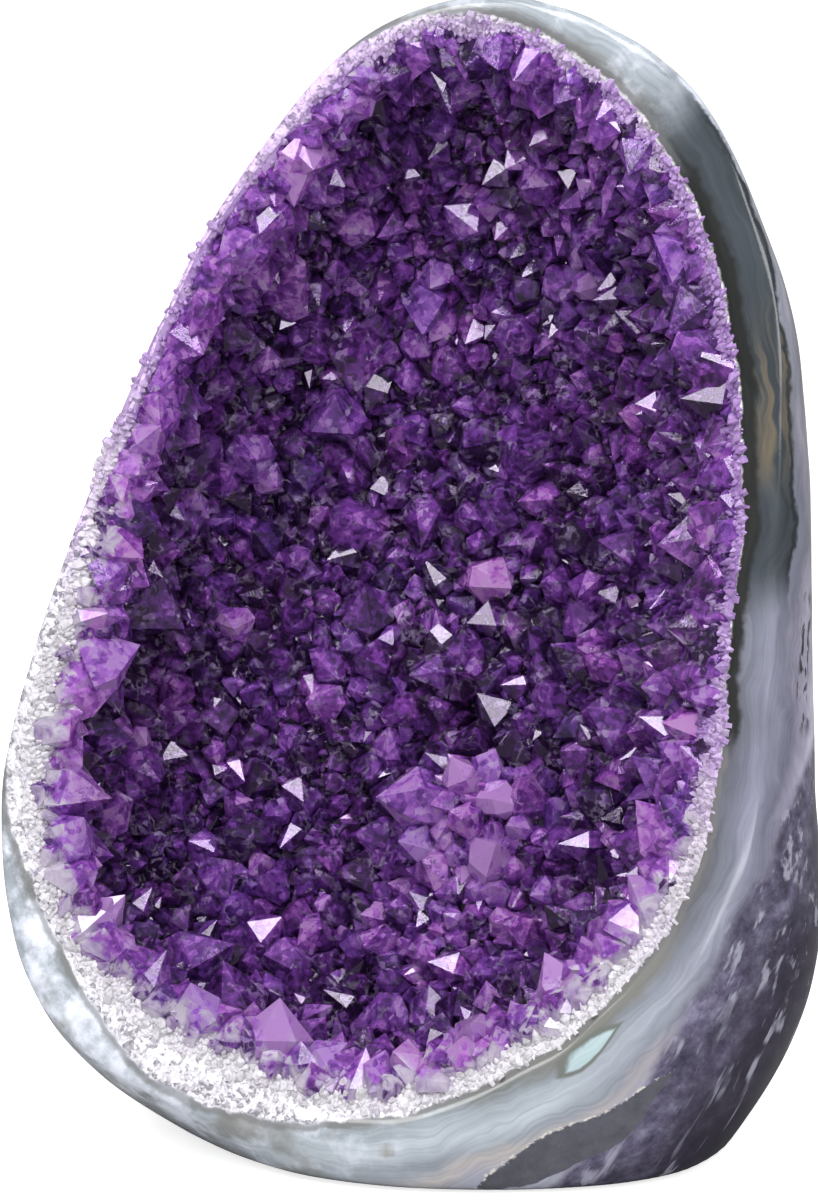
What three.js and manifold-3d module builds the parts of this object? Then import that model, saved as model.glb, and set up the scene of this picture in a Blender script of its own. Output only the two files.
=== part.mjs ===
// An amethyst geode that stands on a cut base: a boulder sawn across, its hollow lined with crystals.
// Millimetres. +Z is up, the open face looks along -Y and the table is at Z = 0.
// The stone and the crystals that line it are two solids, with a hairline gap where they meet.
import * as THREE from "three";
import { mergeVertices } from "three/addons/utils/BufferGeometryUtils.js";
import Module from "manifold-3d";

const wasm = await Module();
wasm.setup();

// Driving dimensions. An outline is a list of radii at even directions around a middle,
// from the right anticlockwise, seen from in front of it.
const BOULDER_OUTLINE = [55, 59, 71, 86, 91, 72, 57, 53, 56, 65, 75, 77, 84, 86, 76, 60];
const BOULDER_FRONT = 30; // how far the uncut boulder swells in front of its widest section
const BOULDER_BACK = 48; // and how far it swells behind it
const BOULDER_SLANT = [0, 0.4]; // how far it runs to the left and down for each step back
const BOULDER_SQUARENESS = 2.3; // 2 is an ellipsoid, more is boxier
const BOULDER_TURN = 15; // degrees that its widest section is turned to the right of the sawn face
const BOULDER_LEAN = 12; // degrees that its widest section leans back
const BOULDER_MIDDLE_HEIGHT = 75; // above the table
const FACE_LEAN = 18; // degrees that the sawn face leans back
const FACE_AHEAD = 5; // how far the sawn face is in front of the boulder's middle

const OPENING_OUTLINE = [45, 49, 60, 76, 87, 71, 57, 51, 52, 60, 67, 68, 68, 64, 58, 49];
const HOLLOW_DEPTH = 34; // from the sawn face to the stone behind the crystals
const HOLLOW_SQUARENESS = 2.5;
const HOLLOW_SLANT = [0.3, 0.25]; // how far it runs to the left and down for each step back
const LINING_THINNEST = 3; // quartz under the crystals, at the upper right
const LINING_THICKEST = 8; // and at the lower left
const LINING_THICKEST_AT = 240; // degrees from the right, anticlockwise
const HAIRLINE = 0.3; // gap between the stone and the lining

const LUMP_HEIGHT = 10; // a mound of crystals on the hollow's wall
const LUMP_SPREAD = 24; // degrees from its top to its foot, seen from the middle of the face
const LUMP_WAY = [0.16, -0.74, -0.65]; // which way it is from there: to the right, up and out

const CRYSTAL_SPACING = 8.8; // least distance between the feet of two crystals
const CRYSTAL_RADIUS = [5, 7.5]; // smallest and largest, from a crystal's axis to the foot of its edges
const CRYSTAL_STEEPNESS = 1.27; // height of its six-sided point, in radii
const CRYSTAL_ROOT = 2; // how deep it is rooted in the quartz
const CRYSTAL_TILT = 0.5; // how far it can lean from square to the wall, as a share of its length

const DEGREE = Math.PI / 180;
const BIG = 400; // side of a block that cuts the whole boulder
const CRYSTAL_PLACES = 6000; // places that are tried for a crystal
const BOULDER_MESH = [48, 24]; // facets around and along
const HOLLOW_MESH = [32, 16];

// Three axes: right, up and out, seen from in front of a section that is turned and leans back.
function axesOf(turn, lean) {
  const out = new THREE.Vector3(
    Math.sin(turn * DEGREE) * Math.cos(lean * DEGREE),
    -Math.cos(turn * DEGREE) * Math.cos(lean * DEGREE),
    Math.sin(lean * DEGREE),
  );
  const right = new THREE.Vector3(Math.cos(turn * DEGREE), Math.sin(turn * DEGREE), 0);
  const up = new THREE.Vector3().crossVectors(out, right);
  return new THREE.Matrix4().makeBasis(right, up, out);
}

// The radius of a smooth outline at an angle.
function outlineAt(radii, angle) {
  const count = radii.length;
  const turn = ((((angle / (2 * Math.PI)) * count) % count) + count) % count;
  const at = Math.floor(turn);
  const t = turn - at;
  const [a, b, c, d] = [count - 1, 0, 1, 2].map((step) => radii[(at + step) % count]);
  return b + 0.5 * t * (c - a + t * (2 * a - 5 * b + 4 * c - d + t * (3 * (b - c) + d - a)));
}

// How far out a point is in a swollen form: 0 in its middle, 1 on its surface and twice as much twice as far.
function levelIn(form, { x, y, z }) {
  const right = x - form.slant[0] * z;
  const up = y - form.slant[1] * z;
  const across = Math.hypot(right, up) / outlineAt(form.outline, Math.atan2(up, right));
  const along = Math.abs(z) / (z > 0 ? form.front : form.back);
  return (across ** form.squareness + along ** form.squareness) ** (1 / form.squareness);
}

// A closed mesh around a middle, as far out in each direction as distance(direction) says.
function swollen(distance, placement, [around, along]) {
  const ball = new THREE.SphereGeometry(1, around, along);
  ball.rotateX(Math.PI / 2);
  const position = ball.getAttribute("position");
  const point = new THREE.Vector3();
  for (let i = 0; i < position.count; i += 1) {
    point.fromBufferAttribute(position, i).normalize();
    point.multiplyScalar(distance(point));
    position.setXYZ(i, point.x, point.y, point.z);
  }
  return ball.applyMatrix4(placement);
}

function solidOf(geometry) {
  const bare = geometry.clone();
  bare.deleteAttribute("normal");
  bare.deleteAttribute("uv");
  const merged = mergeVertices(bare);
  return new wasm.Manifold(
    new wasm.Mesh({
      numProp: 3,
      vertProperties: new Float32Array(merged.getAttribute("position").array),
      triVerts: new Uint32Array(merged.index.array),
    }),
  );
}

function meshOf(solid, name, material) {
  const { vertProperties, triVerts } = solid.getMesh();
  const geometry = new THREE.BufferGeometry();
  geometry.setAttribute("position", new THREE.BufferAttribute(vertProperties, 3));
  geometry.setIndex(new THREE.BufferAttribute(triVerts, 1));
  const mesh = new THREE.Mesh(geometry, material);
  mesh.name = name;
  return mesh;
}

// Numbers from 0 to 1 that look random and are the same every time.
function seeded(seed) {
  let state = seed;
  return () => {
    state = (state * 1664525 + 1013904223) % 4294967296;
    return state / 4294967296;
  };
}

const boulder = {
  outline: BOULDER_OUTLINE,
  front: BOULDER_FRONT,
  back: BOULDER_BACK,
  squareness: BOULDER_SQUARENESS,
  slant: BOULDER_SLANT,
};
const hollow = {
  outline: OPENING_OUTLINE,
  front: HOLLOW_DEPTH,
  back: HOLLOW_DEPTH,
  squareness: HOLLOW_SQUARENESS,
  slant: HOLLOW_SLANT,
};

const boulderMiddle = new THREE.Vector3(0, 0, BOULDER_MIDDLE_HEIGHT);
const boulderPlace = axesOf(BOULDER_TURN, BOULDER_LEAN).setPosition(boulderMiddle);
const facePlace = axesOf(0, FACE_LEAN);
const faceOut = new THREE.Vector3().setFromMatrixColumn(facePlace, 2);
facePlace.setPosition(boulderMiddle.clone().addScaledVector(faceOut, FACE_AHEAD));

function liningThickness({ x, y }) {
  const nearness = 0.5 + 0.5 * Math.cos(Math.atan2(y, x) - LINING_THICKEST_AT * DEGREE);
  return LINING_THINNEST + (LINING_THICKEST - LINING_THINNEST) * nearness;
}

function toStone(way) {
  return 1 / levelIn(hollow, way);
}

function lumpHeight(way) {
  const share = way.angleTo(new THREE.Vector3(...LUMP_WAY)) / (LUMP_SPREAD * DEGREE);
  return share < 1 ? LUMP_HEIGHT * (0.5 + 0.5 * Math.cos(Math.PI * share)) : 0;
}

function toCrystals(way) {
  return toStone(way) - liningThickness(way) - lumpHeight(way);
}

// The way that the quartz faces at a point of its surface: down the steepest slope of how far out points are.
function wallFacing(point) {
  const step = 0.1;
  const howFarOut = (at) => at.length() / toCrystals(at.clone().normalize());
  const slope = ["x", "y", "z"].map((axis) => {
    const ahead = point.clone();
    ahead[axis] += step;
    return howFarOut(point) - howFarOut(ahead);
  });
  return new THREE.Vector3(...slope).normalize();
}

// A block that fills everything in front of the sawn face.
function blockAheadOfFace() {
  const block = new THREE.BoxGeometry(BIG, BIG, BIG).translate(0, 0, BIG / 2);
  return solidOf(block.applyMatrix4(facePlace));
}

function blockUnderTable() {
  return solidOf(new THREE.BoxGeometry(BIG, BIG, BIG).translate(0, 0, -BIG / 2));
}

function makeStone() {
  const whole = solidOf(swollen((way) => 1 / levelIn(boulder, way), boulderPlace, BOULDER_MESH));
  const inside = solidOf(swollen(toStone, facePlace, HOLLOW_MESH));
  return whole.subtract(blockAheadOfFace()).subtract(blockUnderTable()).subtract(inside);
}

// The six-sided point of one quartz crystal along +Y. Its stem is hidden among its neighbours.
function crystalGeometry(radius) {
  const height = radius * CRYSTAL_STEEPNESS;
  return new THREE.ConeGeometry(radius, height, 6).translate(0, height / 2 - CRYSTAL_ROOT, 0);
}

// Where crystals grow: points of a spiral over the quartz, left out where they crowd those already chosen.
function crystalFeet() {
  const spiralStep = Math.PI * (3 - Math.sqrt(5));
  const feet = [];
  for (let i = 0; i < CRYSTAL_PLACES; i += 1) {
    const z = -(i + 0.5) / CRYSTAL_PLACES;
    const ring = Math.sqrt(1 - z * z);
    const way = new THREE.Vector3(ring * Math.cos(i * spiralStep), ring * Math.sin(i * spiralStep), z);
    const foot = way.multiplyScalar(toCrystals(way));
    if (feet.every((other) => other.distanceTo(foot) > CRYSTAL_SPACING)) feet.push(foot);
  }
  return feet;
}

function makeCrystals() {
  const random = seeded(7);
  const upright = new THREE.Vector3(0, 1, 0);
  return crystalFeet().map((foot) => {
    const size = random() ** 2;
    const radius = CRYSTAL_RADIUS[0] + size * (CRYSTAL_RADIUS[1] - CRYSTAL_RADIUS[0]);
    const tilt = new THREE.Vector3(random() - 0.5, random() - 0.5, random() - 0.5);
    const axis = wallFacing(foot).addScaledVector(tilt, CRYSTAL_TILT).normalize();
    const stand = new THREE.Quaternion().setFromUnitVectors(upright, axis);
    const twist = new THREE.Quaternion().setFromAxisAngle(upright, random() * Math.PI);
    const placement = new THREE.Matrix4().makeRotationFromQuaternion(stand.multiply(twist));
    placement.setPosition(foot).premultiply(facePlace);
    return solidOf(crystalGeometry(radius).applyMatrix4(placement));
  });
}

function makeLining() {
  const outside = solidOf(swollen((way) => toStone(way) - HAIRLINE, facePlace, HOLLOW_MESH));
  const inside = solidOf(swollen(toCrystals, facePlace, HOLLOW_MESH));
  const grown = wasm.Manifold.union([outside.subtract(inside), ...makeCrystals()]);
  const lining = grown.intersect(outside).subtract(blockAheadOfFace());
  // Crystals that meet over a pocket would seal it: the outer skin alone is the lining.
  return lining.decompose().reduce((most, body) => (body.volume() > most.volume() ? body : most));
}

const banded = new THREE.MeshStandardMaterial({ color: 0x8b93a3, roughness: 0.25, metalness: 0 });
const amethyst = new THREE.MeshStandardMaterial({ color: 0x53307f, roughness: 0.1, metalness: 0 });

const geode = new THREE.Group();
geode.add(meshOf(makeStone(), "stone_shell", banded));
geode.add(meshOf(makeLining(), "crystal_lining", amethyst));

// The origin is on the table, under the middle of the geode's box.
const box = new THREE.Box3().setFromObject(geode);
geode.position.set(-(box.min.x + box.max.x) / 2, -(box.min.y + box.max.y) / 2, 0);

export default geode;
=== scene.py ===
# %% [markdown]
# # An amethyst geode, built from the stone inwards
#
# A geode is a bubble in basalt that mineral water filled from the outside in: first bands of agate,
# then white quartz, and last the purple crystals that point into the hollow. This one was sawn
# across, its rim ground and polished, and its foot cut flat so that it stands. The lesson builds it
# in that order. The CAD model is the frame: it says where the stone and the crystals are, and each
# piece made here takes the place of a CAD solid without leaving its box.

# %% Load the frame
import math
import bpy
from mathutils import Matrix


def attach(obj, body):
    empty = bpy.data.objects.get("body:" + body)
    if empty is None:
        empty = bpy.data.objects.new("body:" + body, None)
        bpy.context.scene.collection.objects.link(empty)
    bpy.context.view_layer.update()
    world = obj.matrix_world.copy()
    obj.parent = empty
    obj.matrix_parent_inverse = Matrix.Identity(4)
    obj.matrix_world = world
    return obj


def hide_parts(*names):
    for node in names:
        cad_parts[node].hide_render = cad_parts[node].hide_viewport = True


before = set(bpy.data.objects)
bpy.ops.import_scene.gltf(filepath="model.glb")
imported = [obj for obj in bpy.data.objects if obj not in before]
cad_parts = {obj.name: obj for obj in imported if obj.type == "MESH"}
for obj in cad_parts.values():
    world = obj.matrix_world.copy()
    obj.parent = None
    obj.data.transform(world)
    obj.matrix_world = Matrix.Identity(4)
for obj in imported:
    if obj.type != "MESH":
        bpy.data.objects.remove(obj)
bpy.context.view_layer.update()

from types import SimpleNamespace

import bpy
import numpy as np
from mathutils import Vector

MM = 0.001

# %% [markdown]
# ## Two swollen forms
#
# The boulder and its hollow are both potato shapes. Each is an outline of sixteen radii, joined by a
# smooth curve and swollen in front and behind like a superellipsoid. A sculpted mesh would do as
# well, but a formula can be asked things: how far out a point is, and which way the surface faces.
# Those answers place the agate bands and the crystals later. The numbers are the CAD model's own,
# give or take 2 mm at the hollow's lower right.

# %% The forms
BOULDER = {
    "outline": np.array([55, 59, 71, 86, 91, 72, 57, 53, 56, 65, 75, 77, 84, 86, 76, 60]) * MM,
    "front": 30 * MM,
    "back": 48 * MM,
    "squareness": 2.3,
    "slant": (0.0, 0.4),
}
HOLLOW = {
    "outline": np.array([45, 49, 60, 76, 87, 71, 57, 51, 52, 60, 67, 68, 68, 62, 57, 49]) * MM,
    "front": 34 * MM,
    "back": 34 * MM,
    "squareness": 2.5,
    "slant": (0.3, 0.25),
}
BOULDER_TURN, BOULDER_LEAN = math.radians(15), math.radians(12)
FACE_LEAN = math.radians(18)
BOULDER_MIDDLE = np.array([0, 0, 75]) * MM
FACE_AHEAD = 5 * MM


def axes_of(turn, lean):
    """Rows: right, up and out, as seen from in front of a section that is turned and leans back."""
    out = np.array([math.sin(turn) * math.cos(lean), -math.cos(turn) * math.cos(lean), math.sin(lean)])
    right = np.array([math.cos(turn), math.sin(turn), 0.0])
    return np.array([right, np.cross(out, right), out])


def outline_at(radii, angle):
    """The radius of a smooth closed curve through evenly turned radii, at any angle."""
    count = len(radii)
    turn = np.mod(angle / (2 * math.pi) * count, count)
    at = np.floor(turn).astype(int)
    t = turn - at
    a, b, c, d = (radii[(at + step) % count] for step in (count - 1, 0, 1, 2))
    return b + 0.5 * t * (c - a + t * (2 * a - 5 * b + 4 * c - d + t * (3 * (b - c) + d - a)))


def level_in(form, points):
    """How far out points are: 0 in the form's middle, 1 on its surface, and growing evenly."""
    x, y, z = np.moveaxis(points, -1, 0)
    x, y = x - form["slant"][0] * z, y - form["slant"][1] * z
    across = np.hypot(x, y) / outline_at(form["outline"], np.arctan2(y, x))
    along = np.abs(z) / np.where(z > 0, form["front"], form["back"])
    power = form["squareness"]
    return (across**power + along**power) ** (1 / power)


BOULDER_AXES = axes_of(BOULDER_TURN, BOULDER_LEAN)
FACE_AXES = axes_of(0.0, FACE_LEAN)
FACE_MIDDLE = BOULDER_MIDDLE + FACE_AXES[2] * FACE_AHEAD


def from_face(points):
    """Points in the sawn face's axes, put where the frame has them, before the last shift."""
    return FACE_MIDDLE + points @ FACE_AXES


def to_boulder(points):
    return (points - BOULDER_MIDDLE) @ BOULDER_AXES.T


print("opening, mm:", round(2 * HOLLOW["outline"].max() / MM), "high")

# %% [markdown]
# ## Natural wobble
#
# Grown things are never as smooth as their formula. A few sine waves with unrelated lengths give a
# wobble that is cheap, closes on itself around the rim and is the same on every run.

# %% Wobble
def wobble(angle, size, waves, seed):
    """A closed wavy line around a turn: a sum of sines of whole-number waves."""
    phases = np.random.default_rng(seed).uniform(0, 2 * math.pi, len(waves))
    total = sum(np.sin(wave * angle + phase) / wave**0.5 for wave, phase in zip(waves, phases))
    return size * total / sum(1 / wave**0.5 for wave in waves)


RIM_WAVES = (3, 5, 8, 13, 21, 34)


def way_ahead(angle, steepness):
    """Unit ways in the face's axes: steepness 0 is straight out of the face, 90 degrees lies in it."""
    angle, steepness = np.broadcast_arrays(angle, steepness)
    ring = np.sin(steepness)
    return np.stack([ring * np.cos(angle), ring * np.sin(angle), np.cos(steepness)], -1)


def way_round(angle, steepness):
    """The same on the hollow's side: steepness 0 is straight back."""
    return way_ahead(angle, steepness) * np.array([1, 1, -1])


def toward(way):
    """The angle around the face of a way."""
    return np.arctan2(way[..., 1], way[..., 0])


def to_stone(way):
    """From the face's middle to where the stone starts."""
    return 1 / level_in(HOLLOW, way) + wobble(toward(way), 1.3 * MM, RIM_WAVES, 3)


# %% [markdown]
# ## The quartz layer
#
# White quartz covers the stone before the purple starts. It is thick at the lower left, thin at the
# upper right, and swells into a mound on the lower right wall.

# %% Quartz thickness
QUARTZ_THINNEST, QUARTZ_THICKEST = 3 * MM, 8 * MM
QUARTZ_THICKEST_AT = math.radians(240)
LUMP_HEIGHT, LUMP_SPREAD = 10 * MM, math.radians(24)
LUMP_WAY = np.array([0.16, -0.74, -0.65])
LUMP_WAY /= np.linalg.norm(LUMP_WAY)


def lump_share(way):
    """1 on the top of the mound and 0 beyond its foot."""
    share = np.arccos(np.clip(way @ LUMP_WAY, -1, 1)) / LUMP_SPREAD
    return np.where(share < 1, 0.5 + 0.5 * np.cos(math.pi * np.minimum(share, 1)), 0)


def quartz_thickness(way):
    nearness = 0.5 + 0.5 * np.cos(toward(way) - QUARTZ_THICKEST_AT)
    grown = QUARTZ_THINNEST + (QUARTZ_THICKEST - QUARTZ_THINNEST) * nearness
    return grown + LUMP_HEIGHT * lump_share(way) + wobble(toward(way), 0.9 * MM, RIM_WAVES, 5)


def to_crystals(way):
    """From the face's middle to the surface that the crystals grow from."""
    return to_stone(way) - quartz_thickness(way)


def rise_outward(points, to_surface, step):
    """How far out points are, 1 on a surface, and what that grows by over a step along x, y and z."""

    def how_far_out(at):
        length = np.linalg.norm(at, axis=-1, keepdims=True)
        return length[..., 0] / to_surface(at / length)

    here = how_far_out(points)
    return here, np.stack([how_far_out(points + step * axis) - here for axis in np.eye(3)], -1)


def wall_facing(points):
    """The way that the quartz faces: down the steepest slope of how far out points are."""
    _, rise = rise_outward(points, to_crystals, 0.1 * MM)
    return -rise / np.linalg.norm(rise, axis=-1, keepdims=True)


# %% [markdown]
# ## The stone
#
# The outside is what a ray from inside the boulder meets first: the boulder's skin, the sawn face or
# the table. A plain smallest-of-three would leave knife edges, so near an edge the two lengths are
# blended, and the blend is the ground and polished bevel. Where the wall is thin the bevel shrinks
# with it. Past the opening's edge the mesh turns in and lines the hollow, so that the stone is one
# closed body with a real wall.

# %% The stone's surface
CORE_BEHIND = 16 * MM
BEVEL_LEAST, BEVEL_MOST = 0.3 * MM, 9 * MM
FOOT_BEVEL = 2.5 * MM
STONE_AROUND, STONE_OUTSIDE, STONE_INSIDE = 420, 170, 40
CORE = FACE_MIDDLE - FACE_AXES[2] * CORE_BEHIND
INNER_LEVEL = 0.965
FARTHEST_SKIN, HALVINGS = 0.2, 30
LEAST_SLANT, FAR_OFF = 0.02, 1.0


def rounded_least(a, b, round_off):
    """The smaller of two lengths, blended where they differ by less than round_off."""
    near = np.clip(0.5 + 0.5 * (b - a) / round_off, 0, 1)
    return b + (a - b) * near - round_off * near * (1 - near)


def to_skin(ways):
    """From the core to the boulder's skin, by halving the gap."""
    low, high = np.zeros(ways.shape[:-1]), np.full(ways.shape[:-1], FARTHEST_SKIN)
    for _ in range(HALVINGS):
        middle = (low + high) / 2
        inside = level_in(BOULDER, to_boulder(CORE + ways * middle[..., None])) < 1
        low, high = np.where(inside, middle, low), np.where(inside, high, middle)
    return low


def to_plane(slant, gap):
    """How far off a plane is along ways that come at it by some slant; far off if they never do."""
    return np.where(slant > LEAST_SLANT, gap / np.maximum(slant, LEAST_SLANT), FAR_OFF)


def skin_unevenness(points):
    """Soft dents that grinding leaves, under half a millimetre deep."""
    x, y, z = np.moveaxis(points / MM, -1, 0)
    slow = np.sin(x / 9 + np.sin(z / 14)) * np.sin(y / 8 + 2) * np.sin(z / 11 + x / 23)
    fast = np.sin(x / 3.7 + 1.3 * np.sin(z / 5)) * np.sin(z / 4.1 + y / 6) * np.sin(y / 3.3)
    return (0.35 * slow + 0.1 * fast) * MM


def stone_outside(angle, share):
    """Points of the outside: share 0 is the middle of the back and 1 the opening's edge."""
    angle, share = np.broadcast_arrays(angle, share)
    edge = to_stone(way_round(angle, math.pi / 2))
    edge_steepness = np.arctan2(edge, CORE_BEHIND)
    steepness = math.pi - share * (math.pi - edge_steepness)
    in_face = way_ahead(angle, steepness)
    ways = in_face @ FACE_AXES
    skin = to_skin(ways)
    skin = skin - skin_unevenness(CORE + ways * skin[..., None])
    face = to_plane(in_face[..., 2], CORE_BEHIND)
    table = to_plane(-ways[..., 2], CORE[2])
    spare = to_skin(way_ahead(angle, edge_steepness) @ FACE_AXES) - np.hypot(edge, CORE_BEHIND)
    bevel = np.clip(0.95 * spare, BEVEL_LEAST, BEVEL_MOST)
    out = rounded_least(rounded_least(skin, face, bevel), table, FOOT_BEVEL)
    return CORE + ways * out[..., None]


def kept_inside(points, most=INNER_LEVEL):
    """Points drawn in toward the boulder's middle where they would come out through its skin."""
    level = level_in(BOULDER, to_boulder(points))[..., None]
    return BOULDER_MIDDLE + (points - BOULDER_MIDDLE) * np.minimum(1, most / level)


def grid_faces(rows, columns, first=0):
    """Four-cornered faces of a grid whose columns close on themselves."""
    row, column = np.mgrid[0 : rows - 1, 0:columns]
    after = (column + 1) % columns
    corners = [row * columns + column, row * columns + after, (row + 1) * columns + after,
               (row + 1) * columns + column]
    return (np.stack(corners, -1).reshape(-1, 4) + first).tolist()


def in_scene(name, data):
    """A new object, linked to the scene."""
    made = bpy.data.objects.new(name, data)
    bpy.context.scene.collection.objects.link(made)
    return made


def mesh_piece(name, points, faces, smooth=True):
    """A new mesh object from points and faces."""
    mesh = bpy.data.meshes.new(name)
    mesh.from_pydata(points.tolist(), [], faces)
    mesh.validate()
    mesh.polygons.foreach_set("use_smooth", [smooth] * len(mesh.polygons))
    return in_scene(name, mesh)


def closed_grid(name, rings):
    """A closed body from rings of points: the first and last ring close on their own middle."""
    rows, columns = rings.shape[:2]
    points = np.concatenate([rings.reshape(-1, 3), rings[0].mean(0)[None], rings[-1].mean(0)[None]])
    faces = grid_faces(rows, columns)
    last = (rows - 1) * columns
    start, end = rows * columns, rows * columns + 1
    for column in range(columns):
        after = (column + 1) % columns
        faces.append([start, after, column])
        faces.append([end, last + column, last + after])
    return mesh_piece(name, points, faces)


around = np.linspace(0, 2 * math.pi, STONE_AROUND, endpoint=False)
back_to_rim = np.linspace(0.01, 1, STONE_OUTSIDE) ** 0.75
outside_rings = stone_outside(around[None, :], back_to_rim[:, None])
rim_to_back = np.linspace(math.pi / 2, 0.02, STONE_INSIDE)[1:]
hollow_ways = way_round(around[None, :], rim_to_back[:, None])
hollow_rings = kept_inside(from_face(hollow_ways * to_stone(hollow_ways)[..., None]))
stone_rings = np.concatenate([outside_rings, hollow_rings])
lowest, highest = stone_rings.min((0, 1)), stone_rings.max((0, 1))
SHIFT = np.array([-(lowest[0] + highest[0]) / 2, -(lowest[1] + highest[1]) / 2, 0.0])
stone = closed_grid("geode_stone", stone_rings + SHIFT)
print("stone, mm:", np.round((highest - lowest) / MM, 1), len(stone.data.polygons), "faces")

# %% [markdown]
# ## What each point of the stone remembers
#
# The bands of a geode follow the wall of its hollow, because the mineral water laid them down on it
# one after another. So the finish has to know, at each point of the surface, how deep in the stone it
# lies. That depth, and the way round the face, are kept on the mesh as plain numbers.

# %% Depth of the bands
def depth_in_stone(points):
    """How far points outside the hollow are from its wall, along the steepest slope."""
    step = 0.2 * MM
    here, rise = rise_outward(points, to_stone, step)
    return (here - 1) / np.linalg.norm(rise / step, axis=-1)


def keep_numbers(piece, name, values, domain="POINT"):
    """Keeps a number for each point, or each face, on a piece's mesh."""
    piece.data.attributes.new(name, "FLOAT", domain).data.foreach_set("value", values.astype(np.float32))


def points_in_face(piece):
    """A piece's points in the sawn face's axes."""
    points = np.zeros(len(piece.data.vertices) * 3)
    piece.data.vertices.foreach_get("co", points)
    return (points.reshape(-1, 3) - SHIFT - FACE_MIDDLE) @ FACE_AXES.T


def round_the_face(turn, values):
    """A value that changes smoothly round the face, from evenly turned ones starting at the right."""
    return outline_at(np.array(values, float), turn)


def window(values, start, end, soft):
    """1 between start and end and 0 beyond, fading over a soft edge."""
    rise = np.clip((values - start) / soft + 0.5, 0, 1)
    fall = np.clip((end - values) / soft + 0.5, 0, 1)
    both = np.minimum(rise, fall)
    return both * both * (3 - 2 * both)


stone_points = points_in_face(stone)
stone_turn = toward(stone_points)
stone_degrees = np.degrees(stone_turn)
behind_face = 1 - window(stone_points[:, 2] / MM, -10, 99, 12)
least_depth = np.interp(-stone_points[:, 2] / MM, [4, 16, 34, 46], [0, 8, 8, 18])
stone_depth = np.clip(depth_in_stone(stone_points) / MM, least_depth, 80)
from_axis = np.maximum(np.linalg.norm(stone_points[:, :2], axis=1), 30 * MM)
banding = np.column_stack([stone_points[:, :2] / from_axis[:, None] * 60, stone_depth])
stone.data.attributes.new("banding", "FLOAT_VECTOR", "POINT").data.foreach_set(
    "vector", banding.astype(np.float32).ravel())
BY_TURN = {
    "quartz_edge": [0, 0, 0.2, 0.3, 0.9, 4, 6, 6, 5, 2.6, 0.8, 4.8, 0.9, 0.1, 0, 0],
    "dark_edge": [1.7, 2.1, 2.5, 2.0, 1.5, 1, 1, 1, 1, 1, 1, 1, 1, 1, 0.8, 1.6],
    "basalt_edge": [17, 20, 20, 20, 22, 24, 24, 24, 24, 24, 22, 19, 19, 14, 7.3, 10],
    "agate_paleness": [0.2, 0.3, 0.45, 0.8, 0.9, 0.8, 0.8, 0.8, 0.8, 0.85, 0.9, 0.95, 0.95, 0.85, 0.35, 0.15],
}
BACK_BASALT_EDGE = 1.5
by_turn = {name: round_the_face(stone_turn, values) for name, values in BY_TURN.items()}
in_front = window(stone_points[:, 2] / MM, -27, 99, 14)
by_turn["basalt_edge"] = BACK_BASALT_EDGE + (by_turn["basalt_edge"] - BACK_BASALT_EDGE) * in_front
by_turn["agate_paleness"] = np.clip(by_turn["agate_paleness"], 0, 1)


def leaf(middle_degrees, middle_depth, half_length, half_height):
    """Less than 1 inside a leaf shape that lies along the bands, sizes in millimetres."""
    along = np.radians(stone_degrees - middle_degrees) * np.linalg.norm(stone_points[:, :2], axis=1) / MM
    across = stone_depth - middle_depth - 0.02 * along
    taper = 1.25 + 0.4 * along / half_length
    shape = (along / half_length) ** 2 + np.abs(across) / half_height * taper
    return np.clip(shape + 3 * (1 - in_front), 0, 3)


# A side is where it starts and ends, in degrees round the face from the right, and its soft edge.
for name, values in {
    **by_turn,
    "depth": stone_depth,
    "near_face": window(stone_points[:, 2] / MM, -7, 99, 4),
    "dark_side": window(stone_degrees, -17, 64, 6) * in_front,
    "teal_side": window(stone_degrees, 8, 68, 10) * in_front,
    "brown_side": window(stone_degrees, 26, 43, 9),
    "lilac_side": window(stone_degrees, 92, 172, 26),
    "cloudy_side": np.maximum(
        window(stone_degrees, -158, -92, 25), 0.5 * window(stone_degrees, 62, 110, 10)),
    "murky_side": window(stone_degrees, -158, -92, 25) * (1 - behind_face),
    "olive_side": window(stone_degrees, -69, -46, 10),
    "inclusions": window(stone_degrees, -11, 9, 4) * window(stone_depth, 10.3, 12.2, 0.6) * in_front,
    "pale_lens": leaf(-62.5, 3.2, 6.8, 1.8),
    "dark_lens": leaf(-68.0, 12.6, 16.5, 3.2),
    "lens_side": window(stone_depth, 4.0, 12.3, 1.5),
    "rusty_spot": leaf(-88, 5.2, 2.2, 1.3),
}.items():
    keep_numbers(stone, name, values)
print("stone depth, mm:", np.round(np.percentile(stone_depth, [5, 50, 95]), 1))

# %% [markdown]
# ## The quartz bed
#
# Under the purple points lies solid quartz, milky and full of tiny flaws, so almost no light gets
# through it. It is modelled as its own closed layer, a hair into the stone on one side and carrying
# the crystals on the other. Its cut edge shows at the rim as the white band. The saw left it level
# beside the stone, and from there it rolls over into the hollow.

# %% Quartz bed
BED_AROUND, BED_OUTSIDE, BED_INSIDE, BED_ACROSS = 240, 10, 34, 12
IN_STONE = 0.15 * MM
CUT_SET_BACK = 0.5 * MM
LIP_DROP = 4.5 * MM
BED_LEVEL = INNER_LEVEL + 0.006


def lip_steepness(angle):
    """Where the inner wall starts: its top edge lies this much below the sawn face."""
    return math.pi / 2 - LIP_DROP / to_crystals(way_round(angle, math.pi / 2))


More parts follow.
